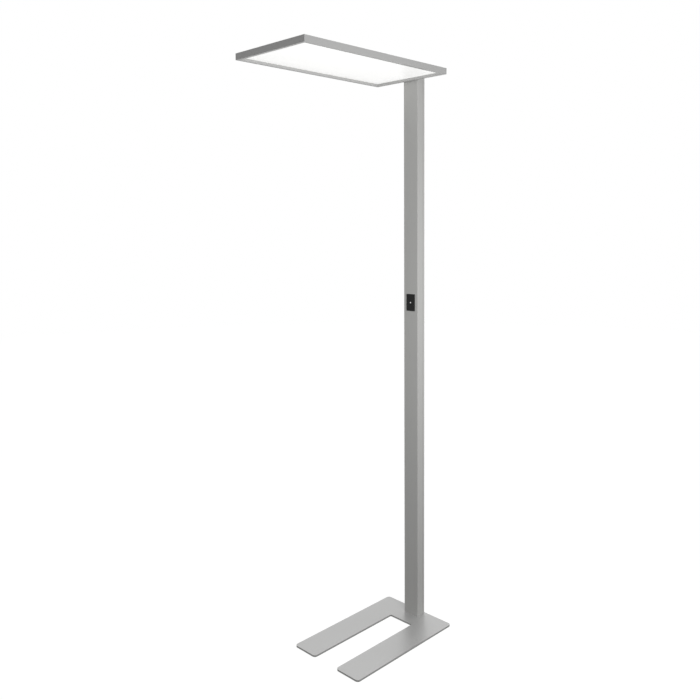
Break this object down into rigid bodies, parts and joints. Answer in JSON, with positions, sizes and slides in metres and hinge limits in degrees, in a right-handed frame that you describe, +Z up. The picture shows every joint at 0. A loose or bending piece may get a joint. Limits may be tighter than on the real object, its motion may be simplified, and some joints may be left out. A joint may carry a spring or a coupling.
{
  "type": "office floor lamp",
  "caption": "Free-standing office floor lamp: forked steel base, slim aluminium column with a push-button panel, and a flat edge-lit head reaching over the prongs.",
  "frame": {"origin": "on the floor, under the middle of the lamp's overall box", "axes": "+Z up, +X forward, the way the head and the prongs reach, +Y the lamp's left"},
  "size_m": [0.676, 0.312, 1.958],
  "materials": {
    "base_coat": "satin silver-grey powder coat",
    "column_coat": "satin silver-grey",
    "frame_coat": "satin silver-grey",
    "cap_plastic": "fine-textured silver-grey",
    "pad_rubber": "matt",
    "zinc_steel": "zinc-plated",
    "raw_aluminium": "mill finish",
    "black_gloss": "gloss black",
    "black_plastic": "matt black",
    "dot_white": "translucent white",
    "board_green": "solder mask",
    "nylon": "natural nylon",
    "driver_case": "white case",
    "blue_wire": "wire insulation",
    "black_wire": "cable sheath",
    "red_wire": "wire insulation",
    "opal": "opal, lit from behind",
    "clear_acrylic": "clear, edge-lit",
    "white_film": "white reflective film",
    "strip_white": "white circuit board",
    "chip_yellow": "phosphor",
    "foam": "open-cell foam"
  },
  "bodies": {
    "lamp": {"base_plate": "base_coat", "base_pads": "pad_rubber", "base_screws": "zinc_steel", "foot_block": "raw_aluminium", "foot_lock_screws": "zinc_steel", "column_profile": "column_coat", "rear_cover": "column_coat", "column_cap": "cap_plastic", "cable_gland": "black_plastic", "gland_nut": "black_plastic", "driver_tray": "zinc_steel", "tray_screws": "zinc_steel", "terminal_block": "nylon", "terminal_screw": "zinc_steel", "led_driver": "driver_case", "driver_screws": "zinc_steel", "mains_wires": "blue_wire", "head_cable": "black_wire", "control_wires": "black_wire", "control_panel": "black_gloss", "control_box": "black_plastic", "control_board": "board_green", "board_screws": "zinc_steel", "board_plug": "nylon", "tact_switch": "black_plastic", "button_spring": "zinc_steel", "head_carrier": "zinc_steel", "carrier_screws": "zinc_steel", "cable_grommet": "pad_rubber", "rail_front": "frame_coat", "rail_rear": "frame_coat", "rail_left": "frame_coat", "rail_right": "frame_coat", "corner_keys": "raw_aluminium", "diffuser": "opal", "light_guide": "clear_acrylic", "reflector_sheet": "white_film", "led_strips": "strip_white", "led_chips": "chip_yellow", "foam_pads": "foam", "head_connector": "nylon", "strip_wires": "red_wire", "top_cover": "frame_coat", "cover_screws": "zinc_steel", "arm_screws": "zinc_steel"},
    "button": {"push_button": "black_gloss", "indicator_dot": "dot_white"}
  },
  "joints": [
    {"name": "button_press", "type": "slide", "parent": "lamp", "child": "button", "axis": [-1, 0, 0], "range_m": [0, 0.0008], "stiffness_N_per_m": 2000, "springref_m": -0.0002, "deforming": ["button_spring"]}
  ]
}
